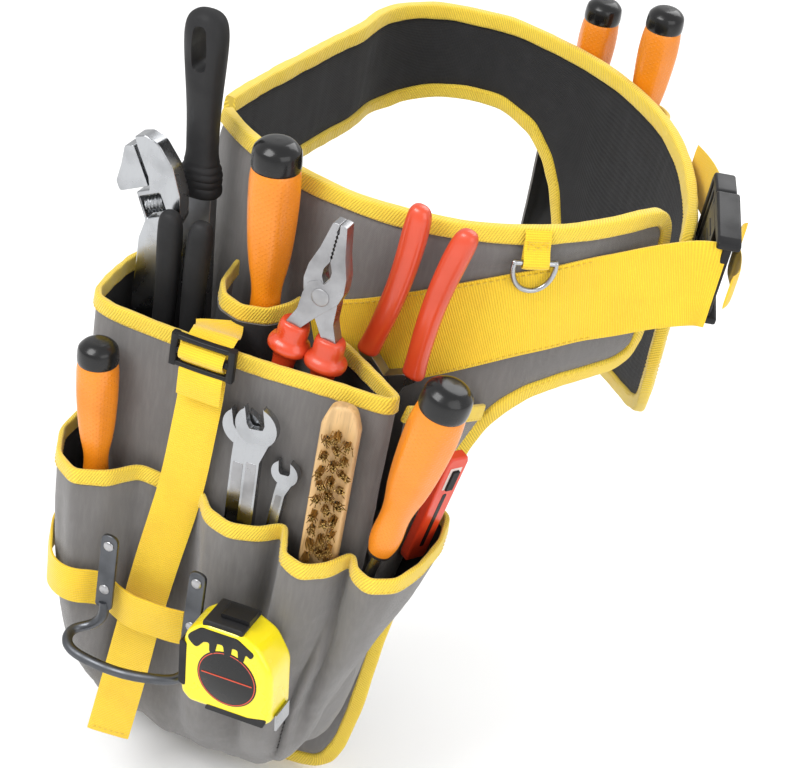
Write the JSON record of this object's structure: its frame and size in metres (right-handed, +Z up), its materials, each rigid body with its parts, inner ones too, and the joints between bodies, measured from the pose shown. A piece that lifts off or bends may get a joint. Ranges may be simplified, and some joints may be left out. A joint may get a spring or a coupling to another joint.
{
  "type": "waist tool belt with holster and tools",
  "caption": "Padded waist belt with a front holster of cloth pockets that hold hand tools, a hammer loop, a closure strap and a side-release buckle.",
  "frame": {"origin": "centre of the wearer's waist ring, at the belt's mid height", "axes": "+Z up, +X to the right of the holster seen from the front, -Y out of the holster"},
  "size_m": [0.3644, 0.4783, 0.5351],
  "materials": {
    "grey_cloth": "woven polyester",
    "lining": "black spacer mesh",
    "yellow_binding": "ribbed tape",
    "yellow_webbing": "woven webbing",
    "black_plastic": "moulded",
    "steel": "plated",
    "dark_steel": "satin",
    "orange_plastic": "moulded",
    "red_plastic": "dipped",
    "black_rubber": "moulded",
    "wood": "planed",
    "brass_wire": "wire",
    "yellow_plastic": "moulded"
  },
  "bodies": {
    "belt": {"front_panel": "grey_cloth", "front_lining": "lining", "front_binding": "yellow_binding", "back_pad": "grey_cloth", "back_lining": "lining", "back_binding": "yellow_binding", "main_pouch": "grey_cloth", "main_pouch_binding": "yellow_binding", "outer_pockets": "grey_cloth", "inner_pocket": "grey_cloth", "side_pocket": "grey_cloth", "pocket_bindings": "yellow_binding", "pocket_band": "yellow_webbing", "rear_holster": "grey_cloth", "waist_webbing": "yellow_webbing", "waist_buckle_socket": "black_plastic", "d_ring_tab": "yellow_webbing", "closure_strap": "yellow_webbing", "closure_buckle": "black_plastic", "hammer_loop": "dark_steel"},
    "buckle_plug": {"waist_buckle_plug": "black_plastic", "plug_webbing": "yellow_webbing"},
    "d_ring": {"d_ring": "steel"},
    "wrench": {"wrench_body": "steel"},
    "wrench_jaw": {"wrench_jaw": "steel"},
    "wrench_worm": {"wrench_worm": "steel"},
    "pry_bar": {"pry_bar_grip": "black_rubber", "pry_bar_shank": "steel"},
    "spanner_left": {"spanner_left": "steel"},
    "spanner_middle": {"spanner_middle": "steel"},
    "spanner_right": {"spanner_right": "steel"},
    "brush": {"brush_back": "wood", "brush_bristles": "brass_wire"},
    "knife": {"knife_body": "red_plastic"},
    "knife_slider": {"knife_slider": "black_rubber"},
    "tape_measure": {"tape_case": "yellow_plastic", "tape_cover": "black_rubber"},
    "tape_hook": {"tape_hook": "steel"},
    "tape_lever": {"tape_lever": "black_rubber"},
    "left_screwdriver": {"left_screwdriver_handle": "orange_plastic", "left_screwdriver_blade": "steel"},
    "centre_screwdriver": {"centre_screwdriver_handle": "orange_plastic", "centre_screwdriver_blade": "steel"},
    "right_screwdriver": {"right_screwdriver_handle": "orange_plastic", "right_screwdriver_blade": "steel"},
    "rear_left_screwdriver": {"rear_left_screwdriver": "orange_plastic"},
    "rear_right_screwdriver": {"rear_right_screwdriver": "orange_plastic"},
    "combination_pliers": {"combination_pliers_half": "steel", "combination_pliers_grip": "red_plastic"},
    "combination_pliers_moving": {"combination_pliers_moving_half": "steel", "combination_pliers_moving_grip": "red_plastic"},
    "long_pliers": {"long_pliers_half": "steel", "long_pliers_grip": "red_plastic"},
    "long_pliers_moving": {"long_pliers_moving_half": "steel", "long_pliers_moving_grip": "red_plastic"},
    "cutter": {"cutter_half": "steel", "cutter_grip": "black_rubber"},
    "cutter_moving": {"cutter_moving_half": "steel", "cutter_moving_grip": "black_rubber"}
  },
  "joints": [
    {"name": "left_screwdriver_draw", "type": "slide", "parent": "belt", "child": "left_screwdriver", "axis": [-0.0698, 0, 0.9976], "range_m": [0, 0.13]},
    {"name": "centre_screwdriver_draw", "type": "slide", "parent": "belt", "child": "centre_screwdriver", "axis": [-0.0599, 0, 0.9982], "range_m": [0, 0.14]},
    {"name": "right_screwdriver_draw", "type": "slide", "parent": "belt", "child": "right_screwdriver", "axis": [0.1772, 0, 0.9842], "range_m": [0, 0.11]},
    {"name": "rear_left_screwdriver_draw", "type": "slide", "parent": "belt", "child": "rear_left_screwdriver", "axis": [0, 0, 1], "range_m": [0, 0.13]},
    {"name": "rear_right_screwdriver_draw", "type": "slide", "parent": "belt", "child": "rear_right_screwdriver", "axis": [0, 0, 1], "range_m": [0, 0.13]},
    {"name": "combination_pliers_draw", "type": "slide", "parent": "belt", "child": "combination_pliers", "axis": [0.0995, 0, 0.995], "range_m": [0, 0.11]},
    {"name": "long_pliers_draw", "type": "slide", "parent": "belt", "child": "long_pliers", "axis": [0.158, 0, 0.9874], "range_m": [0, 0.1]},
    {"name": "cutter_draw", "type": "slide", "parent": "belt", "child": "cutter", "axis": [-0.02, 0, 0.9998], "range_m": [0, 0.12]},
    {"name": "wrench_draw", "type": "slide", "parent": "belt", "child": "wrench", "axis": [0, 0, 1], "range_m": [0, 0.09]},
    {"name": "pry_bar_draw", "type": "slide", "parent": "belt", "child": "pry_bar", "axis": [-0.0788, 0, 0.9969], "range_m": [0, 0.17]},
    {"name": "spanner_left_draw", "type": "slide", "parent": "belt", "child": "spanner_left", "axis": [-0.02, 0, 0.9998], "range_m": [0, 0.1]},
    {"name": "spanner_middle_draw", "type": "slide", "parent": "belt", "child": "spanner_middle", "axis": [-0.02, 0, 0.9998], "range_m": [0, 0.09]},
    {"name": "spanner_right_draw", "type": "slide", "parent": "belt", "child": "spanner_right", "axis": [0.0797, 0, 0.9968], "range_m": [0, 0.07]},
    {"name": "brush_draw", "type": "slide", "parent": "belt", "child": "brush", "axis": [0, 0, 1], "range_m": [0, 0.05]},
    {"name": "knife_draw", "type": "slide", "parent": "belt", "child": "knife", "axis": [0.1772, 0, 0.9842], "range_m": [0, 0.05]},
    {"name": "tape_measure_draw", "type": "slide", "parent": "belt", "child": "tape_measure", "axis": [0, 0, 1], "range_m": [0, 0.06]},
    {"name": "buckle_release", "type": "slide", "parent": "belt", "child": "buckle_plug", "axis": [-0.3357, 0.9224, 0.1908], "range_m": [0, 0.06]},
    {"name": "d_ring_swing", "type": "hinge", "parent": "belt", "child": "d_ring", "pos_m": [0.0828, -0.1332, 0.038], "axis": [-0.8146, -0.58, 0], "range_deg": [0, 70]},
    {"name": "wrench_worm_turn", "type": "hinge", "parent": "wrench", "child": "wrench_worm", "pos_m": [-0.15256, -0.1695, 0.00806], "axis": [0.8829, 0, 0.4695], "range_deg": [0, 1441]},
    {"name": "wrench_jaw_slide", "type": "slide", "parent": "wrench", "child": "wrench_jaw", "axis": [-0.8829, 0, -0.4695], "range_m": [0, 0.012]},
    {"name": "combination_pliers_open", "type": "hinge", "parent": "combination_pliers", "child": "combination_pliers_moving", "pos_m": [-0.019, -0.207, 0.012], "axis": [0, 1, 0], "range_deg": [0, 8]},
    {"name": "long_pliers_open", "type": "hinge", "parent": "long_pliers", "child": "long_pliers_moving", "pos_m": [0.014, -0.171, -0.062], "axis": [0, 1, 0], "range_deg": [0, 8]},
    {"name": "cutter_open", "type": "hinge", "parent": "cutter", "child": "cutter_moving", "pos_m": [-0.1215, -0.184, -0.11], "axis": [0, -1, 0], "range_deg": [0, 8]},
    {"name": "knife_slide", "type": "slide", "parent": "knife", "child": "knife_slider", "axis": [0.1772, 0, 0.9842], "range_m": [-0.03, 0]},
    {"name": "tape_pull", "type": "slide", "parent": "tape_measure", "child": "tape_hook", "axis": [0.9945, 0, 0.1045], "range_m": [0, 0.05]},
    {"name": "tape_lock", "type": "hinge", "parent": "tape_measure", "child": "tape_lever", "pos_m": [-0.01975, -0.2795, -0.18073], "axis": [0, -1, 0], "range_deg": [0, 12]}
  ],
  "couplings": [
    {"joint": "wrench_worm_turn", "follows": "wrench_jaw_slide", "rad_per_m": 2094.4}
  ]
}
